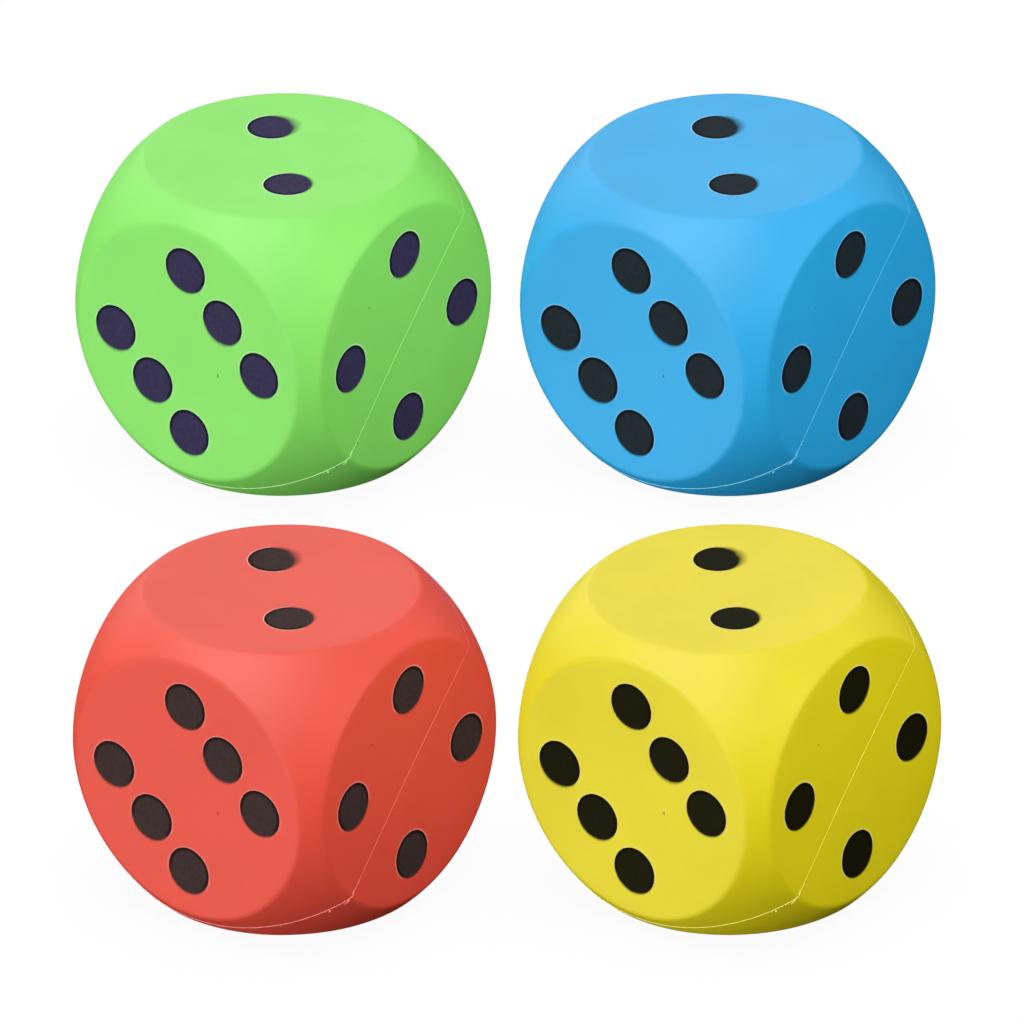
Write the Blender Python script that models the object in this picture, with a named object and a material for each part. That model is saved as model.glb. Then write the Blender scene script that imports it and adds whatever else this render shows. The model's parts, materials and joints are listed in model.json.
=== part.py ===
"""Set of four giant yard dice, moulded in soft foam: green, blue, red and yellow.

Each die is a cube cut round by a ball: six flat round faces with soft rims, and
one ball surface left between them. Inside it has a foam core. Its tough skin is
moulded in two halves, which meet on the cube's diagonal plane, where the mould
parted. The pips are discs of black print, let into the skin.

A die's own frame has its origin at the die's centre. Its six looks along -Y, its
four along +X and its two along +Z, and the mould parts on the plane Y = Z.
The set's frame has +Z up, and its origin on the ground in the middle of the set.

A die rolls forward from the five, which it stands on, to the six. It turns about
a line over the five's front rim, and the empty named after the die lies on it.

Only the pips of the two, the four and the six are solids here: 12 of a die's 21.
"""

import math

import bmesh
import bpy
from mathutils import Matrix, Vector

# Driving dimensions, in metres.
FACE_TO_FACE = 0.160
HALF = FACE_TO_FACE / 2
BALL_RADIUS = 1.335 * HALF
FACE_RADIUS = math.sqrt(BALL_RADIUS**2 - HALF**2)
RIM_FILLET = 0.005
SKIN_THICKNESS = 0.002
FIT_GAP = 0.0003

# Print: every face shares one square grid of pips, turned 45 degrees to the edges.
PIP_RADIUS = 0.159 * HALF
PIP_PITCH = 0.41 * HALF
PIP_THICKNESS = 0.0006
PIP_TURN = math.radians(-45)

# Every die is turned the same way about +Z.
DIE_TURN = math.radians(-38.2)

# Fineness of the solids.
AZIMUTH_STEPS = 24
OUTER_FILLET_STEPS = 3
INNER_FILLET_STEPS = 1
PIP_SIDES = 12
SHARP_ANGLE = math.radians(30)

# How far a cutter runs past what it cuts.
CUTTER_MARGIN = 0.002

# Each die's place on the ground, in two rows of two, and its colour.
DICE = {
    "green": ((-0.1129, 0.2463), (0.266, 0.870, 0.134)),
    "blue": ((0.1146, 0.2358), (0.021, 0.450, 0.890)),
    "red": ((-0.1147, -0.2367), (0.890, 0.080, 0.045)),
    "yellow": ((0.1090, -0.2464), (0.872, 0.742, 0.003)),
}
FOAM_COLOUR = (0.78, 0.72, 0.55)
PRINT_COLOUR = (0.012, 0.011, 0.013)

# Each printed face: its outward normal, its own two axes, and its pips on the grid.
PRINTED_FACES = {
    "two": ((0, 0, 1), (1, 0, 0), [(-1, 0), (1, 0)]),
    "four": ((1, 0, 0), (0, 1, 0), [(-1, -1), (-1, 1), (1, -1), (1, 1)]),
    "six": ((0, -1, 0), (1, 0, 0), [(column, row) for row in (-1, 1) for column in (-1, 0, 1)]),
}


def clear_scene():
    for obj in list(bpy.data.objects):
        bpy.data.objects.remove(obj)


def foam_material(name, colour, roughness):
    """A dull, non-metallic Principled material."""
    material = bpy.data.materials.new(name)
    material.use_nodes = True
    shader = material.node_tree.nodes["Principled BSDF"]
    shader.inputs["Base Color"].default_value = (*colour, 1.0)
    shader.inputs["Roughness"].default_value = roughness
    shader.inputs["Metallic"].default_value = 0.0
    return material


def axes_to_matrix(normal, across, origin):
    """Frame at origin whose Z is the normal and whose X is the direction across."""
    z_axis, x_axis = Vector(normal), Vector(across)
    y_axis = z_axis.cross(x_axis)
    rotation = Matrix((x_axis, y_axis, z_axis)).transposed()
    return Matrix.Translation(origin) @ rotation.to_4x4()


# --- the die's round-faced form ---


def rim_profile(half, ball_radius, fillet, steps):
    """Each ring's radius and height on its face's axis, from the flat face out to the ball."""
    centre_x = math.sqrt((ball_radius - fillet) ** 2 - (half - fillet) ** 2)
    centre_z = half - fillet
    turn = math.atan2(centre_x, centre_z)
    angles = [turn * step / steps for step in range(steps + 1)]
    return [(centre_x + fillet * math.sin(a), centre_z + fillet * math.cos(a)) for a in angles]


def seam_direction(azimuth):
    """Direction, in a face's frame, where it meets the next face at this azimuth."""
    reach = max(abs(math.cos(azimuth)), abs(math.sin(azimuth)))
    return Vector((math.cos(azimuth) / reach, math.sin(azimuth) / reach, 1.0)).normalized()


def face_frames():
    """Rotations that carry +Z to each of the six face normals."""
    quarter = math.pi / 2
    front = Matrix.Rotation(quarter, 3, "X")
    sides = [Matrix.Rotation(step * quarter, 3, "Z") @ front for step in range(4)]
    return [Matrix.Identity(3), Matrix.Rotation(math.pi, 3, "X"), *sides]


def round_faced_cube(name, inset, fillet_steps):
    """Closed mesh of a die's form, moved inwards by an inset: a cube cut round by a ball."""
    half, ball_radius, fillet = HALF - inset, BALL_RADIUS - inset, RIM_FILLET - inset
    azimuths = [2 * math.pi * step / AZIMUTH_STEPS for step in range(AZIMUTH_STEPS)]
    shape = bmesh.new()
    for frame in face_frames():
        rings = []
        for radius, height in rim_profile(half, ball_radius, fillet, fillet_steps):
            ring = [Vector((radius * math.cos(a), radius * math.sin(a), height)) for a in azimuths]
            rings.append([shape.verts.new(frame @ point) for point in ring])
        rings.append([shape.verts.new(frame @ (seam_direction(a) * ball_radius)) for a in azimuths])
        shape.faces.new(rings[0])
        for inner, outer in zip(rings, rings[1:]):
            for step in range(AZIMUTH_STEPS):
                following = (step + 1) % AZIMUTH_STEPS
                shape.faces.new((inner[step], outer[step], outer[following], inner[following]))
    bmesh.ops.remove_doubles(shape, verts=shape.verts, dist=FIT_GAP / 10)
    bmesh.ops.recalc_face_normals(shape, faces=shape.faces)
    bmesh.ops.triangulate(shape, faces=[face for face in shape.faces if len(face.verts) == 4])
    return finished_mesh(shape, name)


def finished_mesh(shape, name):
    mesh = bpy.data.meshes.new(name)
    shape.to_mesh(mesh)
    shape.free()
    shade_round(mesh)
    return mesh


def shade_round(mesh):
    """Smooth shading that keeps rims and cut edges crisp."""
    mesh.shade_smooth()
    mesh.set_sharp_from_angle(angle=SHARP_ANGLE)


# --- print ---


def pip_frames(face):
    """Frames of a face's pips: at each pip's centre on the face, with Z outwards."""
    normal, across, places = PRINTED_FACES[face]
    on_face = axes_to_matrix(normal, across, Vector(normal) * HALF)
    turned = on_face @ Matrix.Rotation(PIP_TURN, 4, "Z")
    return [turned @ Matrix.Translation((x * PIP_PITCH, y * PIP_PITCH, 0)) for x, y in places]


def disc(shape, frame, radius, bottom, top):
    """Adds a closed disc between two heights over the frame's plane."""
    middle = frame @ Matrix.Translation((0, 0, (bottom + top) / 2))
    bmesh.ops.create_cone(
        shape,
        cap_ends=True,
        segments=PIP_SIDES,
        radius1=radius,
        radius2=radius,
        depth=top - bottom,
        matrix=middle,
    )


def pip_mesh():
    """One disc of print, its top flush with the face it is let into."""
    shape = bmesh.new()
    disc(shape, Matrix.Identity(4), PIP_RADIUS, -PIP_THICKNESS, 0.0)
    return finished_mesh(shape, "pip")


def pocket_mesh():
    """Cutter for the shallow seats of all the pips."""
    shape = bmesh.new()
    for face in PRINTED_FACES:
        for frame in pip_frames(face):
            disc(shape, frame, PIP_RADIUS + FIT_GAP, -PIP_THICKNESS - FIT_GAP, CUTTER_MARGIN)
    return finished_mesh(shape, "pip_pockets")


# --- the skin's two halves ---


def half_space_mesh(side):
    """Cutter that covers one side of the mould's parting plane: 1 is the upper side."""
    size = 3 * FACE_TO_FACE
    normal = Vector((0, -side, side)).normalized()
    placed = axes_to_matrix(normal, (1, 0, 0), normal * (size + FIT_GAP) / 2)
    shape = bmesh.new()
    bmesh.ops.create_cube(shape, size=size, matrix=placed)
    return finished_mesh(shape, "half_space")


def helper(mesh):
    """Object that stays out of the model and only takes part in a Boolean."""
    obj = bpy.data.objects.new(mesh.name + "_helper", mesh)
    obj.hide_render = True
    obj.display_type = "WIRE"
    bpy.context.scene.collection.objects.link(obj)
    return obj


def combined(name, base_mesh, steps):
    """Mesh of base_mesh after Boolean steps, each an (operation, cutter mesh) pair."""
    base = helper(base_mesh)
    helpers = [base]
    for operation, cutter_mesh in steps:
        cutter = helper(cutter_mesh)
        helpers.append(cutter)
        modifier = base.modifiers.new(operation.title(), "BOOLEAN")
        modifier.operation = operation
        modifier.solver = "EXACT"
        modifier.object = cutter
    bpy.context.view_layer.update()
    graph = bpy.context.evaluated_depsgraph_get()
    mesh = bpy.data.meshes.new_from_object(base.evaluated_get(graph))
    mesh.name = name
    shade_round(mesh)
    for obj in helpers:
        bpy.data.objects.remove(obj)
    return mesh


def skin_meshes():
    """The upper and the lower half of the skin, hollow and with seats for the pips."""
    outside = round_faced_cube("outside", 0.0, OUTER_FILLET_STEPS)
    inside = round_faced_cube("inside", SKIN_THICKNESS, INNER_FILLET_STEPS)
    pockets = pocket_mesh()
    halves = {}
    for label, side in (("upper", 1), ("lower", -1)):
        cuts = [
            ("INTERSECT", half_space_mesh(side)),
            ("DIFFERENCE", inside),
            ("DIFFERENCE", pockets),
        ]
        halves[label] = combined("skin_" + label, outside, cuts)
    return halves


def core_mesh():
    """The inside of the skin, shrunk about the centre to leave a gap all round."""
    mesh = round_faced_cube("core", SKIN_THICKNESS, INNER_FILLET_STEPS)
    mesh.transform(Matrix.Scale(1 - FIT_GAP / (HALF - SKIN_THICKNESS), 4))
    return mesh


# --- assembly ---


def place(name, mesh, material, parent, matrix=None):
    """Object of a shared mesh, with a material of its own, in its die's frame."""
    if not mesh.materials:
        mesh.materials.append(None)
    obj = bpy.data.objects.new(name, mesh)
    bpy.context.scene.collection.objects.link(obj)
    obj.parent = parent
    obj.matrix_local = matrix or Matrix.Identity(4)
    obj.material_slots[0].link = "OBJECT"
    obj.material_slots[0].material = material
    return obj


def frame_empty(name, matrix, parent=None):
    empty = bpy.data.objects.new(name, None)
    empty.empty_display_size = HALF
    bpy.context.scene.collection.objects.link(empty)
    empty.parent = parent
    empty.matrix_local = matrix
    return empty


def die_frame(colour_name, x, y):
    """Empty at a die's centre, on one that lies on the line the die rolls about."""
    turned = Matrix.Translation((x, y, HALF)) @ Matrix.Rotation(DIE_TURN, 4, "Z")
    to_roll_line = Matrix.Translation((0, -FACE_RADIUS, -FACE_RADIUS))
    roll_line = frame_empty(colour_name + "_die", turned @ to_roll_line)
    return frame_empty(colour_name + "_centre", to_roll_line.inverted(), roll_line)


def build_set():
    core = core_mesh()
    skins = skin_meshes()
    pip = pip_mesh()
    foam = foam_material("foam_core", FOAM_COLOUR, 0.9)
    ink = foam_material("pip_print", PRINT_COLOUR, 0.55)
    for colour_name, ((x, y), colour) in DICE.items():
        die = die_frame(colour_name, x, y)
        skin_material = foam_material(colour_name + "_skin", colour, 0.6)
        place(colour_name + "_core", core, foam, die)
        for label, mesh in skins.items():
            place(f"{colour_name}_skin_{label}", mesh, skin_material, die)
        for face in PRINTED_FACES:
            for number, frame in enumerate(pip_frames(face), start=1):
                place(f"{colour_name}_{face}_pip_{number}", pip, ink, die, frame)


clear_scene()
build_set()
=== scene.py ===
"""Looks of a set of four giant yard dice, moulded in soft foam, on a pale floor.

Every die is built in its own frame, whose origin is the die's centre: its six
looks along -Y, its four along +X and its two along +Z, and the mould parted on
the plane Y = Z. The die's shape is a cube cut round by a ball, with soft rims.
"""

import json
import math

import bmesh
import bpy
from mathutils import Matrix, Vector, noise


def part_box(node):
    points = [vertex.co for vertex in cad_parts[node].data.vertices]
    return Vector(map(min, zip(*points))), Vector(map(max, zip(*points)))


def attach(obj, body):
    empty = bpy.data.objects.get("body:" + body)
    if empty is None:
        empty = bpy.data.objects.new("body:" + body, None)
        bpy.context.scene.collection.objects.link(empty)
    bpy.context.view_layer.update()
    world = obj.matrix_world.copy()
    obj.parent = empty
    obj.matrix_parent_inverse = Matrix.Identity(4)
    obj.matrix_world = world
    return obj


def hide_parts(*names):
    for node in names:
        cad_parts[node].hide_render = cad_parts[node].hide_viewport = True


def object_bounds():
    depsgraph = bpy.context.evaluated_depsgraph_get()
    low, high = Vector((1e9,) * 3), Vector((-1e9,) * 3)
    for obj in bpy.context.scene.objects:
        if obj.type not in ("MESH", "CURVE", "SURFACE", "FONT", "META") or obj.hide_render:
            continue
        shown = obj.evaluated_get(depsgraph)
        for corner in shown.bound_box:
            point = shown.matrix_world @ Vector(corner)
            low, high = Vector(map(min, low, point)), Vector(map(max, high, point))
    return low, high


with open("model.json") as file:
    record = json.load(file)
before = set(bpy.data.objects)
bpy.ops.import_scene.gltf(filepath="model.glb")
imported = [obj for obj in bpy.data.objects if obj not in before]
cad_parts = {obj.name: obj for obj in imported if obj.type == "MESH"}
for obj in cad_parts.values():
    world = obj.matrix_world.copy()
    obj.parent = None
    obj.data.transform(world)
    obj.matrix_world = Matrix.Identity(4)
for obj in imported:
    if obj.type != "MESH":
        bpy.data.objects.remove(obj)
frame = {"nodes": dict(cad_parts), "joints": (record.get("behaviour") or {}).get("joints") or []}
CAD_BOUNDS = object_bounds()

# The die's form, from the frame's height and the CAD's proportions.
HALF = (CAD_BOUNDS[1].z - CAD_BOUNDS[0].z) / 2
BALL_RADIUS = 1.335 * HALF
RIM_FILLET = 0.0625 * HALF
RIM_CENTRE_Z = HALF - RIM_FILLET
RIM_CENTRE_X = math.sqrt((BALL_RADIUS - RIM_FILLET) ** 2 - RIM_CENTRE_Z**2)
RIM_TURN = math.atan2(RIM_CENTRE_X, RIM_CENTRE_Z)
DISH_DEPTH = 0.0008
SKIN_THICKNESS = 0.0018

# Waves that the foam leaves in the skin as it sets.
WAVE_HEIGHT = 0.00014
WAVE_LENGTH = 0.028

# Print. A pip's outline is ragged: shares of its radius, and how quickly each changes.
PIP_RADIUS = 0.159 * HALF
PIP_PITCH = 0.41 * HALF
PIP_TURN = math.radians(-45)
PIP_ROUGHNESS = [(0.006, 1.3), (0.008, 6.0)]
PAINT_RISE = 0.00008
PAINT_DEPTH = 0.00030
PAINT_SIDES = 96
STENCIL_EDGE = 0.00030
FADE_INSIDE = 0.7  # share of the fading edge that lies inside the outline
PALE_RIM = 0.0008

# The line of flash where the mould parted, and the torn scraps beside it. The profile
# gives points across the line, in shares of its width and height.
FLASH_WIDTH = 0.00060
FLASH_HEIGHT = 0.00022
FLASH_STEPS = 1200
FLASH_DRIFT = 0.35
FLASH_PROFILE = [(-0.5, -0.6), (-0.42, 0.25), (-0.15, 0.9), (0.15, 1.0), (0.42, 0.3), (0.5, -0.6)]
SCRAP_SIZE = 0.0019

# Bubbles that burst at the skin, their pits darkened with painted shade: face, place on it in its own
# axes, and radius.
BURST_BUBBLES = [
    ("six", 0.0192, -0.0082, 0.00055),
    ("four", -0.0300, 0.0280, 0.00035),
    ("two", 0.0240, 0.0370, 0.00030),
    ("three", 0.0150, -0.0310, 0.00050),
    ("one", -0.0260, 0.0180, 0.00045),
]

# Patterns of the skin, in turns to the metre, and its pinholes.
BLOTCHES = 26
RIPPLES = 210
GRAIN = 900
PINHOLE_SPACING = 0.021
PINHOLE_RADIUS = 0.00040
PINHOLE_SHARE = 0.07

# Patterns of the paint, the flash and the foam inside, in turns to the metre.
PAINT_MOTTLE = 420
PAINT_SPECKS = 2600
FLASH_UNEVENNESS = 330
FLASH_GRAIN = 2500
FOAM_CELLS = 900

# Fineness of the skin: steps round a face, and rings from its middle to its seam. Edges
# that turn more than the sharp angle aren't shaded smooth.
AZIMUTH_STEPS = 144
FLAT_RINGS = 20
FILLET_RINGS = 7
BALL_RINGS = 5
SHARP_ANGLE = math.radians(40)

# Each face: its outward normal, its own first axis, and its pips on the turned grid.
FACES = {
    "one": ((0, 1, 0), (1, 0, 0), [(0, 0)]),
    "two": ((0, 0, 1), (1, 0, 0), [(-1, 0), (1, 0)]),
    "three": ((-1, 0, 0), (0, 1, 0), [(0, -1), (0, 0), (0, 1)]),
    "four": ((1, 0, 0), (0, 1, 0), [(-1, -1), (-1, 1), (1, -1), (1, 1)]),
    "five": ((0, 0, -1), (1, 0, 0), [(-1, -1), (-1, 1), (0, 0), (1, -1), (1, 1)]),
    "six": ((0, -1, 0), (1, 0, 0), [(column, row) for row in (-1, 1) for column in (-1, 0, 1)]),
}
CAD_FACES = ("two", "four", "six")

# Where the paint crept under the stencil: its side of the pips, in the face's own
# axes, how far it crept at each pip, and how pale the stencil left the rim elsewhere.
CREEP = {
    "one": ((0.6, -0.8), [0.0012], 0.5),
    "two": ((0.60, 0.80), [0.0080, 0.0028], 1.0),
    "three": ((0.3, -1.0), [0.0010, 0.0015, 0.0009], 0.5),
    "four": ((0.35, -0.94), [0.0018, 0.0026, 0.0016, 0.0020], 0.52),
    "five": ((1.0, 0.2), [0.0012, 0.0009, 0.0014, 0.0010, 0.0012], 0.5),
    "six": ((-0.25, -0.97), [0.0030, 0.0024, 0.0022, 0.0018, 0.0034, 0.0020], 0.4),
}

# Skin and print colours of each die, in linear light, and how far towards white the
# skin goes in the pale rims of its pips.
COLOURS = {
    "green": ((0.266, 0.870, 0.134), (0.041, 0.035, 0.087), 0.72),
    "blue": ((0.021, 0.450, 0.890), (0.014, 0.024, 0.031), 0.36),
    "red": ((0.890, 0.080, 0.045), (0.049, 0.030, 0.028), 0.39),
    "yellow": ((0.872, 0.742, 0.003), (0.0095, 0.009, 0.001), 0.39),
}


# --- places ---


def die_centre(name):
    low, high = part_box(name + "_core")
    return (low + high) / 2


def die_matrix(name):
    """Where a die's own frame lies at rest. All dice are turned alike."""
    across = Vector(frame["joints"][0]["axis"])
    turn = math.atan2(across.y, across.x)
    return Matrix.Translation(die_centre(name)) @ Matrix.Rotation(turn, 4, "Z")


def face_matrix(face):
    """Frame of a face at the die's centre: Z outwards, X along the face's first axis."""
    normal, across, _ = FACES[face]
    z_axis, x_axis = Vector(normal), Vector(across)
    return Matrix((x_axis, z_axis.cross(x_axis), z_axis)).transposed()


# --- the die's surface ---


def flat_height(radius):
    """Height of the dished face at a distance from its axis."""
    share = min(radius / RIM_CENTRE_X, 1.0)
    return HALF - DISH_DEPTH * (1 - share**2) ** 2


def reach(angle):
    """Distance from the die's centre to its surface at an angle from the nearest face's axis."""
    if angle >= RIM_TURN:
        return BALL_RADIUS
    if math.tan(angle) * HALF <= RIM_CENTRE_X:
        return flat_height(math.tan(angle) * HALF) / math.cos(angle)
    centre = BALL_RADIUS - RIM_FILLET
    offset = angle - RIM_TURN
    return centre * math.cos(offset) + math.sqrt(RIM_FILLET**2 - (centre * math.sin(offset)) ** 2)


def waved(point, seed):
    """The point moved in or out with the waves in the skin."""
    where = point / WAVE_LENGTH + Vector((seed, 2 * seed, 3 * seed))
    return point * (1 + WAVE_HEIGHT * noise.noise(where) / point.length)


def seam_angle(azimuth):
    """Angle from a face's axis to its seam with the next face."""
    return math.atan(1 / max(abs(math.cos(azimuth)), abs(math.sin(azimuth))))


def ring_points(azimuths):
    """Rings of one face in its own frame, from near the middle out to the seam."""
    rings = []
    for step in range(1, FLAT_RINGS + 1):
        radius = RIM_CENTRE_X * step / FLAT_RINGS
        rings.append([(radius, flat_height(radius))] * len(azimuths))
    for step in range(1, FILLET_RINGS + 1):
        angle = RIM_TURN * step / FILLET_RINGS
        radius = RIM_CENTRE_X + RIM_FILLET * math.sin(angle)
        rings.append([(radius, RIM_CENTRE_Z + RIM_FILLET * math.cos(angle))] * len(azimuths))
    for step in range(1, BALL_RINGS + 1):
        ring = []
        for azimuth in azimuths:
            angle = RIM_TURN + (seam_angle(azimuth) - RIM_TURN) * step / BALL_RINGS
            ring.append((BALL_RADIUS * math.sin(angle), BALL_RADIUS * math.cos(angle)))
        rings.append(ring)
    return [
        [Vector((r * math.cos(a), r * math.sin(a), z)) for (r, z), a in zip(ring, azimuths)]
        for ring in rings
    ]


def die_surface(seed):
    """Closed surface of a whole die as a bmesh, in the die's own frame."""
    azimuths = [2 * math.pi * step / AZIMUTH_STEPS for step in range(AZIMUTH_STEPS)]
    rings = ring_points(azimuths)
    shape = bmesh.new()
    for face in FACES:
        turned = face_matrix(face)
        middle = shape.verts.new(waved(turned @ Vector((0, 0, flat_height(0))), seed))
        loops = [[shape.verts.new(waved(turned @ point, seed)) for point in ring] for ring in rings]
        for step in range(AZIMUTH_STEPS):
            following = (step + 1) % AZIMUTH_STEPS
            shape.faces.new((middle, loops[0][step], loops[0][following]))
            for inner, outer in zip(loops, loops[1:]):
                shape.faces.new((inner[step], outer[step], outer[following], inner[following]))
    bmesh.ops.remove_doubles(shape, verts=shape.verts, dist=1e-5)
    bmesh.ops.recalc_face_normals(shape, faces=shape.faces)
    return shape


# --- pieces ---


def piece(name, shape, die, material):
    """Object made from a bmesh in a die's frame, riding on that die's body."""
    mesh = bpy.data.meshes.new(name)
    shape.to_mesh(mesh)
    shape.free()
    mesh.shade_smooth()
    mesh.set_sharp_from_angle(angle=SHARP_ANGLE)
    mesh.materials.append(material)
    obj = bpy.data.objects.new(name, mesh)
    bpy.context.scene.collection.objects.link(obj)
    obj.matrix_world = die_matrix(die)
    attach(obj, die + "_die")
    return obj


def skin_half(name, label, side, material, seed):
    """One half of the skin: the surface on its side of the parting plane, with thickness."""
    shape = die_surface(seed)
    bmesh.ops.bisect_plane(
        shape,
        geom=shape.verts[:] + shape.edges[:] + shape.faces[:],
        dist=1e-6,
        plane_co=(0, 0, 0),
        plane_no=(0, -side, side),
        clear_inner=True,
    )
    bmesh.ops.solidify(shape, geom=shape.faces[:], thickness=SKIN_THICKNESS)
    bmesh.ops.recalc_face_normals(shape, faces=shape.faces)
    obj = piece(f"{name}_moulded_skin_{label}", shape, name, material)
    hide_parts(f"{name}_skin_{label}")


# --- print ---


def on_face(frame_of_face, x, y, rise, seed):
    """Point over a face's surface, at x and y in its own frame."""
    point = Vector((x, y, flat_height(math.hypot(x, y)) + rise))
    return waved(frame_of_face @ point, seed)


def pip_centre(place):
    return Matrix.Rotation(PIP_TURN, 2) @ (Vector(place) * PIP_PITCH)


def pip_outline(angle, key):
    """Ragged radius of a pip at an angle round it."""
    turn = Vector((math.cos(angle), math.sin(angle), key))
    return PIP_RADIUS * (1 + sum(share * noise.noise(turn * pace) for share, pace in PIP_ROUGHNESS))


def creep_reach(face, number, angle):
    """How wide the paint's fading edge is at an angle round a pip."""
    side, reaches, _ = CREEP[face]
    share = max(0.0, math.cos(angle - math.atan2(side[1], side[0])))
    rough = 1 + 0.3 * noise.noise(Vector((3 * math.cos(angle), 3 * math.sin(angle), 7 * number)))
    return STENCIL_EDGE + reaches[number - 1] * share**1.5 * rough


def crispness(fade):
    """1 where the stencil lay close and left a sharp edge, 0 where the paint crept."""
    return min(1.0, max(0.0, 1.5 - 0.35 * fade / STENCIL_EDGE))


# A pip's rings, from its middle out: share of the painted disc, spread into the fading
# edge, share of the pale rim, height in shares of the film's, how well the paint covers
# the skin, and its tone: 1 for the thick dark edge, -1 for the rim that the stencil paled.
PAINT_RINGS = [
    (0.40, 0.0, 0.0, 1.0, 2.0, 0.0),
    (0.84, 0.0, 0.0, 1.0, 2.0, 0.0),
    (0.91, 0.0, 0.0, 1.0, 2.0, 0.7),
    (0.96, 0.0, 0.0, 1.1, 1.9, 1.0),
    (1.00, 0.0, 0.0, 0.9, 1.8, 1.0),
    (1.00, 0.3, 0.0, 0.7, 1.10, 0.9),
    (1.00, 0.55, 0.0, 0.6, 0.62, 0.6),
    (1.00, 0.8, 0.0, 0.5, 0.26, 0.0),
    (1.00, 1.0, 0.0, 0.5, 0.06, -0.5),
    (1.00, 1.0, 0.3, 0.5, 1.2, -1.0),
    (1.00, 1.0, 0.65, 0.5, 1.0, -1.0),
    (1.00, 1.0, 1.0, 0.5, 0.0, -1.0),
]


def paint_radius(outline, fade, ring):
    """A ring's distance from the pip's middle."""
    share, spread, rim = ring[:3]
    return share * (outline - FADE_INSIDE * fade) + spread * fade + rim * PALE_RIM


def paint_loop(shape, layers, face, number, ring, seed):
    """One ring of a pip's film of paint. Every pip of a die has its own ragged outline."""
    turned = face_matrix(face)
    places = FACES[face][2]
    centre = pip_centre(places[number - 1])
    key = number + 10 * len(places)
    height, cover, tone = ring[3:]
    loop = []
    for step in range(PAINT_SIDES):
        angle = 2 * math.pi * step / PAINT_SIDES
        fade = creep_reach(face, number, angle)
        radius = paint_radius(pip_outline(angle, key), fade, ring)
        x, y = centre.x + radius * math.cos(angle), centre.y + radius * math.sin(angle)
        vert = shape.verts.new(on_face(turned, x, y, height * PAINT_RISE, seed))
        vert[layers["cover"]] = cover * CREEP[face][2] * crispness(fade) if ring[2] else cover
        vert[layers["tone"]] = tone * crispness(fade)
        loop.append(vert)
    return loop


def paint_pip(name, face, number, material, seed):
    """Film of paint on the skin, closed below it, with a crisp side and a side that fades."""
    shape = bmesh.new()
    layers = {key: shape.verts.layers.float.new(key) for key in ("cover", "tone")}
    underside = (1.0, 1.0, 1.0, -PAINT_DEPTH / PAINT_RISE, 0.0, 0.0)
    loops = [paint_loop(shape, layers, face, number, ring, seed) for ring in [*PAINT_RINGS, underside]]
    centre = pip_centre(FACES[face][2][number - 1])
    middle = shape.verts.new(on_face(face_matrix(face), centre.x, centre.y, PAINT_RISE, seed))
    middle[layers["cover"]] = PAINT_RINGS[0][4]
    for step in range(PAINT_SIDES):
        following = (step + 1) % PAINT_SIDES
        shape.faces.new((middle, loops[0][step], loops[0][following]))
        for inner, outer in zip(loops, loops[1:]):
            shape.faces.new((inner[step], outer[step], outer[following], inner[following]))
    shape.faces.new(loops[-1])
    bmesh.ops.recalc_face_normals(shape, faces=shape.faces)
    obj = piece(f"{name}_{face}_paint_{number}", shape, name, material)
    if face in CAD_FACES:
        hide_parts(f"{name}_{face}_pip_{number}")


# --- flash ---


# The parting plane's own directions: off the line, and along the die's diagonal.
ASIDE = Vector((0, -1, 1)).normalized()
DIAGONAL = Vector((0, 1, 1)).normalized()

# How full the line is round the die, and how pale its painted highlight, by its turn
# from the four's axis in degrees. The paleness stands in for the light that the raised
# line catches. It is fullest and most brightly painted under the ball, worn down over
# the top, and flattened under the three's middle pip.
LINE_FULLNESS = [
    (-180, 0.0, 0.50),
    (-171, 0.0, 0.50),
    (-169, 0.70, 0.50),
    (-139, 0.70, 0.50),
    (-135, 0.95, 1.0),
    (-47, 0.95, 1.0),
    (-42, 1.15, 0.85),
    (-36, 0.72, 0.52),
    (38, 0.66, 0.52),
    (43, 0.45, 0.42),
    (137, 0.45, 0.42),
    (141, 0.70, 0.50),
    (169, 0.70, 0.50),
    (171, 0.0, 0.50),
    (180, 0.0, 0.50),
]

# Where scraps hang on the line: turn from the four's axis in degrees from and to,
# how far off the line they lie, in shares of its width, and how many.
SCRAPS = [
    (-46.0, -42.2, (-2.6, 1.2), 24),
    (-41.8, -37.5, (-1.4, 1.4), 8),
    (-84.0, -46.5, (-3.4, -1.2), 10),
    (136.0, 140.0, (-1.5, 1.5), 8),
    (219.0, 223.0, (-1.5, 1.5), 12),
    (-125.0, -95.0, (-1.5, 0.8), 12),
]


def on_line(turn, seed):
    """Point of the surface on the parting plane, and the way outwards there."""
    outward = Vector((math.cos(turn), 0, 0)) + DIAGONAL * math.sin(turn)
    from_axis = min(abs(turn - near) for near in (0, math.pi, 2 * math.pi, -math.pi))
    return waved(outward * reach(from_axis), seed), outward


def between(stops, place):
    """Values at a place, blended from the stops on each side of it."""
    for before, after in zip(stops, stops[1:]):
        if place <= after[0]:
            share = (place - before[0]) / (after[0] - before[0])
            return [low + share * (high - low) for low, high in zip(before[1:], after[1:])]
    return stops[-1][1:]


def flash_look(turn, seed):
    """How big the line is at a turn and how pale its painted highlight, with small gaps and lumps."""
    size, shade = between(LINE_FULLNESS, math.degrees(math.remainder(turn, 2 * math.pi)))
    place = Vector((math.cos(turn), math.sin(turn), 0.1 * seed))
    rough = 1 + 0.35 * noise.noise(place * 40) + 0.25 * noise.noise(place * 160)
    return max(0.25, size * rough), shade


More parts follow.
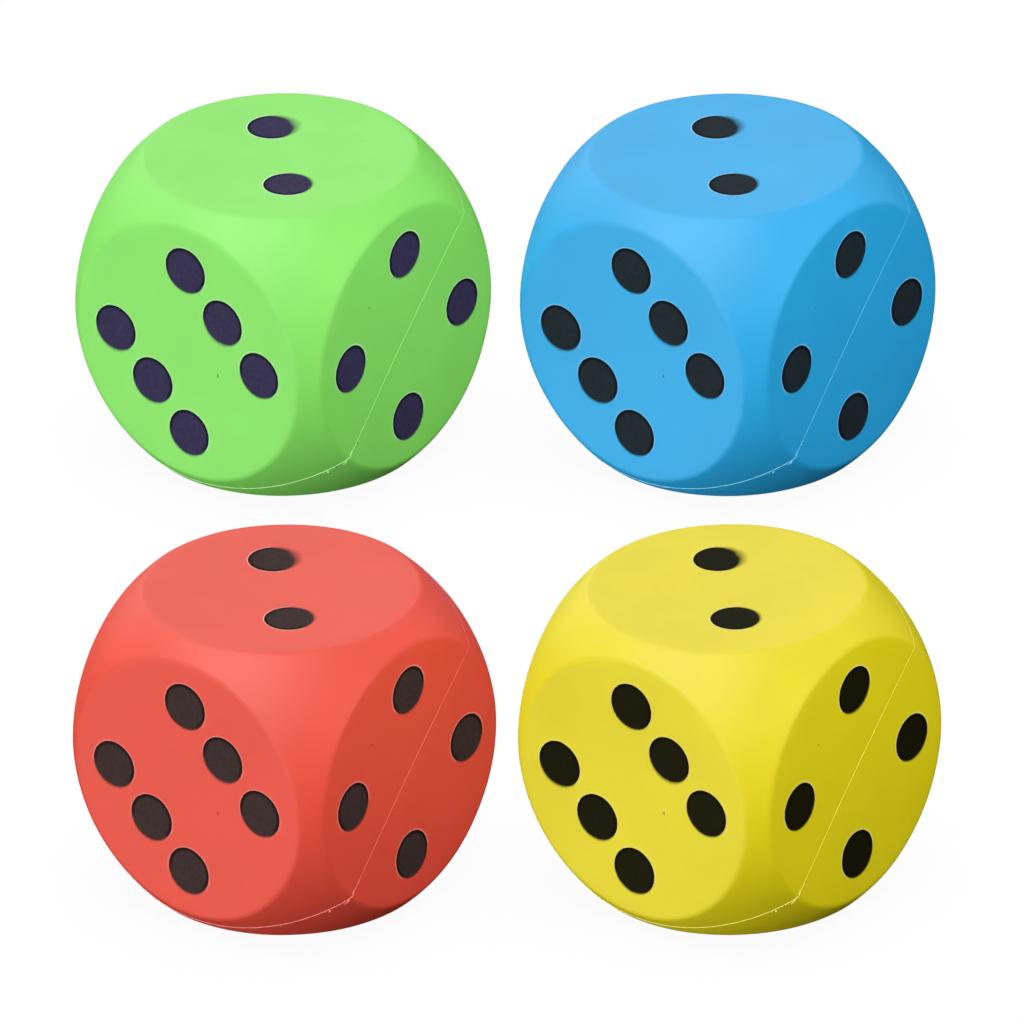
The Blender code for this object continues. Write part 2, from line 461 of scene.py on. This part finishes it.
def add_bead(shape, shade, seed):
    """Thin raised line all round the die, one closed ring."""
    loops = []
    for step in range(FLASH_STEPS):
        turn = 2 * math.pi * step / FLASH_STEPS
        surface, outward = on_line(turn, seed)
        size, paleness = flash_look(turn, seed)
        drift = ASIDE * FLASH_WIDTH * FLASH_DRIFT * noise.noise(outward * 22 + Vector((0, 0, seed)))
        loop = []
        for sideways, height in FLASH_PROFILE:
            point = surface + drift + ASIDE * sideways * FLASH_WIDTH * size
            vert = shape.verts.new(point + outward * height * FLASH_HEIGHT * size)
            # Painted highlight: how far the line's colour goes towards pale here.
            vert[shade] = paleness
            loop.append(vert)
        loops.append(loop)
    for step, loop in enumerate(loops):
        following = loops[(step + 1) % FLASH_STEPS]
        for side in range(len(FLASH_PROFILE)):
            other = (side + 1) % len(FLASH_PROFILE)
            shape.faces.new((loop[side], loop[other], following[other], following[side]))


def add_scrap(shape, shade, turn, spot, size, off_line, seed):
    """One torn scrap of flash: a crooked wedge that stands on the surface."""
    surface, outward = on_line(turn, seed)
    foot = (surface + ASIDE * off_line).normalized() * surface.length
    along = ASIDE.cross(outward)
    spin = 2 * math.pi * spot.z
    way = ASIDE * math.cos(spin) + along * math.sin(spin)
    across = outward.cross(way)
    corners = [way * 0.6, across * 0.32 - way * 0.4, across * -0.32 - way * 0.35]
    base = [shape.verts.new(foot + (corner - outward * 0.3) * size) for corner in corners]
    top = shape.verts.new(foot + (way * 0.2 + outward * 0.4) * size)
    for vert in [*base, top]:
        # Each scrap is coloured as lit or as shadowed: a painted highlight or painted shade.
        vert[shade] = 1.3 if spot.y > 0.5 else -0.3
    shape.faces.new((base[2], base[1], base[0]))
    for step in range(3):
        shape.faces.new((base[step], base[(step + 1) % 3], top))


def add_scraps(shape, shade, seed):
    for first, last, (low, high), count in SCRAPS:
        for number in range(count):
            noise.seed_set(1 + 97 * number + int(first + 360))
            spot = Vector([0.5 + 0.5 * value for value in noise.random_unit_vector()])
            other = Vector([0.5 + 0.5 * value for value in noise.random_unit_vector()])
            turn = math.radians(first + (last - first) * other.x)
            off_line = FLASH_WIDTH * (low + (high - low) * other.y)
            add_scrap(shape, shade, turn, spot, SCRAP_SIZE * (0.4 + 0.6 * spot.x), off_line, seed)


def flash(name, material, seed):
    shape = bmesh.new()
    shade = shape.verts.layers.float.new("shade")
    add_bead(shape, shade, seed)
    add_scraps(shape, shade, seed)
    bmesh.ops.recalc_face_normals(shape, faces=shape.faces)
    piece(name + "_flash", shape, name, material)


# --- materials ---


def new_material(name):
    material = bpy.data.materials.new(name)
    material.use_nodes = True
    return material, material.node_tree, material.node_tree.nodes["Principled BSDF"]


def add_node(tree, kind, **settings):
    node = tree.nodes.new(kind)
    for key, value in settings.items():
        setattr(node, key, value)
    return node


def noise_node(tree, coordinates, scale, detail=3.0, roughness=0.5):
    node = add_node(tree, "ShaderNodeTexNoise")
    node.inputs["Scale"].default_value = scale
    node.inputs["Detail"].default_value = detail
    node.inputs["Roughness"].default_value = roughness
    tree.links.new(coordinates, node.inputs["Vector"])
    return node.outputs["Fac"]


def ramp_node(tree, factor, stops):
    node = add_node(tree, "ShaderNodeValToRGB")
    elements = node.color_ramp.elements
    while len(elements) < len(stops):
        elements.new(0.5)
    for element, (position, colour) in zip(elements, stops):
        element.position = position
        element.color = (*colour, 1.0)
    tree.links.new(factor, node.inputs["Fac"])
    return node.outputs["Color"]


def bump_node(tree, height, strength, distance, before=None):
    node = add_node(tree, "ShaderNodeBump")
    node.inputs["Strength"].default_value = strength
    node.inputs["Distance"].default_value = distance
    tree.links.new(height, node.inputs["Height"])
    if before:
        tree.links.new(before, node.inputs["Normal"])
    return node.outputs["Normal"]


def scaled(colour, factor):
    return tuple(min(channel * factor, 1.0) for channel in colour)


def math_node(tree, operation, *values, clamp=False):
    """The operation on its values, each a number or another node's output."""
    node = add_node(tree, "ShaderNodeMath", operation=operation, use_clamp=clamp)
    for socket, value in zip(node.inputs, values):
        if isinstance(value, (int, float)):
            socket.default_value = value
        else:
            tree.links.new(value, socket)
    return node.outputs["Value"]


def mixed(tree, factor, first, second):
    """Colour that goes from first to second with the factor. Its sockets 6 and 7 take colours."""
    node = add_node(tree, "ShaderNodeMix", data_type="RGBA")
    tree.links.new(factor, node.inputs["Factor"])
    for socket, value in ((node.inputs[6], first), (node.inputs[7], second)):
        if isinstance(value, tuple):
            socket.default_value = (*value, 1.0)
        else:
            tree.links.new(value, socket)
    return node.outputs[2]


def bubble_mask(tree, place):
    """1 inside the burst bubbles, which are twice as long along Z as across."""
    squeezed = add_node(tree, "ShaderNodeVectorMath", operation="MULTIPLY")
    squeezed.inputs[1].default_value = (1, 1, 0.5)
    tree.links.new(place, squeezed.inputs[0])
    mask = None
    for face, x, y, radius in BURST_BUBBLES:
        centre = face_matrix(face) @ Vector((x, y, flat_height(math.hypot(x, y))))
        centre.z *= 0.5
        gap = add_node(tree, "ShaderNodeVectorMath", operation="DISTANCE")
        gap.inputs[1].default_value = centre
        tree.links.new(squeezed.outputs["Vector"], gap.inputs[0])
        inside = math_node(tree, "LESS_THAN", gap.outputs["Value"], radius)
        mask = math_node(tree, "MAXIMUM", mask, inside) if mask else inside
    return mask


def cell_node(tree, coordinates, scale):
    node = add_node(tree, "ShaderNodeTexVoronoi")
    node.inputs["Scale"].default_value = scale
    tree.links.new(coordinates, node.inputs["Vector"])
    return node


def pinhole_mask(tree, place):
    """1 inside small round specks strewn about a spacing apart, of which a share is kept."""
    cells = cell_node(tree, place, 1 / PINHOLE_SPACING)
    parts = add_node(tree, "ShaderNodeSeparateColor")
    tree.links.new(cells.outputs["Color"], parts.inputs["Color"])
    kept = math_node(tree, "LESS_THAN", parts.outputs["Red"], PINHOLE_SHARE)
    size = math_node(tree, "MULTIPLY", parts.outputs["Green"], PINHOLE_RADIUS / PINHOLE_SPACING)
    inside = math_node(tree, "LESS_THAN", cells.outputs["Distance"], size)
    return math_node(tree, "MULTIPLY", kept, inside)


def skin_material(name, colour, seed):
    """Matt moulded foam skin with faint blotches, ripples and grain, and a few pinholes and burst
    bubbles darkened with painted shade.
    """
    material, tree, shader = new_material(name + "_foam_skin")
    place = add_node(tree, "ShaderNodeTexCoord").outputs["Object"]
    shifted = add_node(tree, "ShaderNodeVectorMath", operation="ADD")
    shifted.inputs[1].default_value = (0.3 * seed, 0.2 * seed, 0.1 * seed)
    tree.links.new(place, shifted.inputs[0])
    own_place = shifted.outputs["Vector"]
    blotches = noise_node(tree, own_place, BLOTCHES)
    tint = ramp_node(tree, blotches, [(0.32, scaled(colour, 0.965)), (0.68, scaled(colour, 1.02))])
    grain = noise_node(tree, own_place, GRAIN, roughness=0.6)
    tint = mixed(tree, math_node(tree, "MULTIPLY", grain, 0.16), tint, scaled(colour, 0.80))
    pinholes = pinhole_mask(tree, own_place)
    pinholes = math_node(tree, "MAXIMUM", pinholes, bubble_mask(tree, place))
    # Painted shade in the pinholes and burst bubbles: the skin's colour darkened there.
    tint = mixed(tree, pinholes, tint, scaled(colour, 0.45))
    tree.links.new(tint, shader.inputs["Base Color"])
    ripple = noise_node(tree, own_place, RIPPLES)
    normal = bump_node(tree, ripple, 0.10, 0.0006)
    normal = bump_node(tree, grain, 0.12, 0.0003, normal)
    pits = math_node(tree, "SUBTRACT", 1.0, pinholes)
    normal = bump_node(tree, pits, 0.5, 0.0003, normal)
    tree.links.new(normal, shader.inputs["Normal"])
    shader.inputs["Roughness"].default_value = 0.52
    shader.inputs["Specular IOR Level"].default_value = 0.37
    return material


def flash_material(name, colour):
    """Thin torn foam whose colour carries painted light: pale as a painted highlight where the line
    catches light, dark as painted shade on the shadowed scraps.
    """
    material, tree, shader = new_material(name + "_flash_foam")
    place = add_node(tree, "ShaderNodeTexCoord").outputs["Object"]
    shade = add_node(tree, "ShaderNodeAttribute", attribute_name="shade").outputs["Fac"]
    uneven = math_node(tree, "MULTIPLY_ADD", noise_node(tree, place, FLASH_UNEVENNESS, 2), 0.7, -0.35)
    painted_light_level = math_node(tree, "ADD", shade, uneven, clamp=True)
    # Painted light: painted shade at 0, the skin's own colour at 0.35, a painted highlight at 1.
    pale = tuple(min(1.3 * channel + 0.18, 1.0) for channel in colour)
    stops = [(0.0, scaled(colour, 0.22)), (0.35, colour), (1.0, pale)]
    tree.links.new(ramp_node(tree, painted_light_level, stops), shader.inputs["Base Color"])
    normal = bump_node(tree, noise_node(tree, place, FLASH_GRAIN, 2), 0.3, 0.0002)
    tree.links.new(normal, shader.inputs["Normal"])
    shader.inputs["Roughness"].default_value = 0.6
    return material


def paint_material(name, colour, skin_colour, paleness):
    """Dull black spray paint: darker at its thick edge, fading out in fine specks, pale past it."""
    material, tree, shader = new_material(name + "_pip_paint")
    place = add_node(tree, "ShaderNodeTexCoord").outputs["Object"]
    cover = add_node(tree, "ShaderNodeAttribute", attribute_name="cover").outputs["Fac"]
    tone = add_node(tree, "ShaderNodeAttribute", attribute_name="tone").outputs["Fac"]
    mottle = noise_node(tree, place, PAINT_MOTTLE, 4, 0.6)
    tint = ramp_node(tree, mottle, [(0.30, scaled(colour, 0.86)), (0.70, scaled(colour, 1.14))])
    tint = mixed(tree, math_node(tree, "MULTIPLY", tone, 1.0, clamp=True), tint, scaled(colour, 0.2))
    pale = tuple(channel + (0.98 - channel) * paleness for channel in skin_colour)
    tint = mixed(tree, math_node(tree, "MULTIPLY", tone, -2.0, clamp=True), tint, pale)
    tree.links.new(tint, shader.inputs["Base Color"])
    spotted = math_node(tree, "MULTIPLY_ADD", noise_node(tree, place, PAINT_SPECKS, 2, 0.7), 0.8, 0.6)
    tree.links.new(math_node(tree, "MULTIPLY", cover, spotted, clamp=True), shader.inputs["Alpha"])
    normal = bump_node(tree, mottle, 0.12, 0.0003)
    tree.links.new(normal, shader.inputs["Normal"])
    shader.inputs["Roughness"].default_value = 0.7
    shader.inputs["Specular IOR Level"].default_value = 0.04
    return material


def foam_material():
    """Open cream foam of the cores, darkened with painted shade in the hollow middle of its cells."""
    material, tree, shader = new_material("open_foam")
    place = add_node(tree, "ShaderNodeTexCoord").outputs["Object"]
    depth = cell_node(tree, place, FOAM_CELLS).outputs["Distance"]
    # Painted shade: darker towards each cell's hollow middle.
    tint = ramp_node(tree, depth, [(0.0, (0.5, 0.44, 0.3)), (0.6, (0.8, 0.74, 0.57))])
    tree.links.new(tint, shader.inputs["Base Color"])
    tree.links.new(bump_node(tree, depth, 0.6, 0.0004), shader.inputs["Normal"])
    shader.inputs["Roughness"].default_value = 0.95
    return material


# --- dice ---


def build_die(name, seed, foam):
    skin_colour, print_colour, paleness = COLOURS[name]
    skin = skin_material(name, skin_colour, seed)
    paint = paint_material(name, print_colour, skin_colour, paleness)
    frame["nodes"][name + "_core"].data.materials.clear()
    frame["nodes"][name + "_core"].data.materials.append(foam)
    skin_half(name, "upper", 1, skin, seed)
    skin_half(name, "lower", -1, skin, seed)
    flash(name, flash_material(name, skin_colour), seed)
    for face, (_, _, places) in FACES.items():
        for number in range(1, len(places) + 1):
            paint_pip(name, face, number, paint, seed)


# --- studio ---

# The view's width is measured at the middle of the set, in metres.
CAMERA_ELEVATION = math.radians(27.2)
CAMERA_ROLL = math.radians(-1.17)
CAMERA_DISTANCE = 300 * HALF
VIEW_WIDTH = 0.5195
VIEW_SHIFT = (0.0037, -0.0022)
SENSOR = 36.0

# Large soft lamps far away: how far round from the camera's side to the right, and
# how high, in degrees, and how strong. The same light falls on every die.
LAMPS = {
    "left": (-50, -5, 1.82),
    "front": (-20, 42, 1.28),
    "right": (110, 35, 1.15),
    "back": (-150, 35, 1.95),
}

# Lamps that only show as a sheen on the skin.
SHEEN_LAMPS = {
    "upper_sheen": (-50, 60, 4.6),
    "lower_sheen": (-76, -27, 0.75),
}
LAMP_SIZE = math.radians(70)

# A small lamp beside each die: where it stands, as above, how far, its radius and power.
SIDE_LAMP = (48, 19)
SIDE_LAMP_DISTANCE = 0.368
SIDE_LAMP_RADIUS = 0.11
SIDE_LAMP_POWER = 1.66

# The floor lies just under the dice and reaches past the view on every side.
FLOOR_REACH = 60
FLOOR_GAP = 0.0002
FLOOR_PATTERN = 60
FLOOR_GLOW = 0.95
FLOOR_LIGHT = 0.20


def place_camera():
    """Long lens, so that every die is seen from the same side."""
    back = Vector((0, -math.cos(CAMERA_ELEVATION), math.sin(CAMERA_ELEVATION)))
    upright = Matrix.Rotation(math.pi / 2 - CAMERA_ELEVATION, 4, "X")
    rolled = upright @ Matrix.Rotation(CAMERA_ROLL, 4, "Z")
    aim = Vector((0, 0, HALF))
    data = bpy.data.cameras.new("camera")
    data.sensor_width = SENSOR
    data.lens = CAMERA_DISTANCE * SENSOR / VIEW_WIDTH
    data.clip_start = 1.0
    data.clip_end = 100.0
    data.shift_x, data.shift_y = VIEW_SHIFT
    obj = bpy.data.objects.new("camera", data)
    bpy.context.scene.collection.objects.link(obj)
    obj.matrix_world = Matrix.Translation(aim + back * CAMERA_DISTANCE) @ rolled
    bpy.context.scene.camera = obj


def group(name, objects):
    collection = bpy.data.collections.new(name)
    for obj in objects:
        collection.objects.link(obj)
    return collection


def towards(round_angle, height_angle):
    turn, rise = math.radians(round_angle), math.radians(height_angle)
    return Vector((math.sin(turn) * math.cos(rise), -math.cos(turn) * math.cos(rise), math.sin(rise)))


def lamp(name, kind, strength, receivers):
    """Lamp that lights only the receivers."""
    data = bpy.data.lights.new(name, kind)
    data.energy = strength
    obj = bpy.data.objects.new(name, data)
    bpy.context.scene.collection.objects.link(obj)
    obj.light_linking.receiver_collection = receivers
    return obj


def far_lamp(name, direction, strength, receivers):
    obj = lamp(name, "SUN", strength, receivers)
    obj.data.angle = LAMP_SIZE
    obj.rotation_euler = direction.to_track_quat("Z", "Y").to_euler()
    return obj


def side_lamp(die, receivers):
    obj = lamp(die + "_side_lamp", "POINT", SIDE_LAMP_POWER, receivers)
    obj.data.shadow_soft_size = SIDE_LAMP_RADIUS
    obj.data.use_shadow = False
    obj.location = die_centre(die) + towards(*SIDE_LAMP) * SIDE_LAMP_DISTANCE


def floor_material():
    material, tree, shader = new_material("floor")
    place = add_node(tree, "ShaderNodeTexCoord").outputs["Object"]
    pattern = noise_node(tree, place, FLOOR_PATTERN)
    tint = ramp_node(tree, pattern, [(0.3, (0.89, 0.89, 0.89)), (0.7, (0.91, 0.91, 0.91))])
    tree.links.new(tint, shader.inputs["Base Color"])
    shader.inputs["Roughness"].default_value = 1.0
    shader.inputs["Specular IOR Level"].default_value = 0.0
    shader.inputs["Emission Color"].default_value = (1, 1, 1, 1)
    shader.inputs["Emission Strength"].default_value = FLOOR_GLOW
    return material


def build_floor():
    shape = bmesh.new()
    bmesh.ops.create_grid(shape, x_segments=1, y_segments=1, size=FLOOR_REACH)
    mesh = bpy.data.meshes.new("floor")
    shape.to_mesh(mesh)
    shape.free()
    mesh.materials.append(floor_material())
    obj = bpy.data.objects.new("floor", mesh)
    bpy.context.scene.collection.objects.link(obj)
    obj.location.z = -FLOOR_GAP
    obj.visible_diffuse = False
    obj.visible_glossy = False
    return obj


def build_backdrop():
    """White all round, seen by the camera only, so that the lamps alone light the dice."""
    world = bpy.data.worlds.new("studio")
    bpy.context.scene.world = world
    world.use_nodes = True
    world.node_tree.nodes["Background"].inputs["Color"].default_value = (1, 1, 1, 1)
    world.cycles_visibility.diffuse = False
    world.cycles_visibility.glossy = False


def build_studio():
    """Camera, lamps, floor and backdrop. The dice take no light from each other."""
    place_camera()
    pieces = [obj for obj in bpy.context.scene.objects if obj.type == "MESH"]
    for obj in pieces:
        obj.visible_diffuse = False
    dice = group("dice", pieces)
    for name, (round_angle, height_angle, strength) in {**LAMPS, **SHEEN_LAMPS}.items():
        obj = far_lamp(name + "_lamp", towards(round_angle, height_angle), strength, dice)
        obj.data.use_shadow = False
        obj.visible_diffuse = name in LAMPS
    for die in COLOURS:
        side_lamp(die, group(die, [obj for obj in pieces if obj.name.startswith(die)]))
    far_lamp("floor_lamp", Vector((0, 0, 1)), FLOOR_LIGHT, group("ground", [build_floor()]))
    build_backdrop()
    bpy.context.scene.view_settings.view_transform = "Standard"


foam = foam_material()
for index, name in enumerate(COLOURS):
    build_die(name, index + 1, foam)
build_studio()
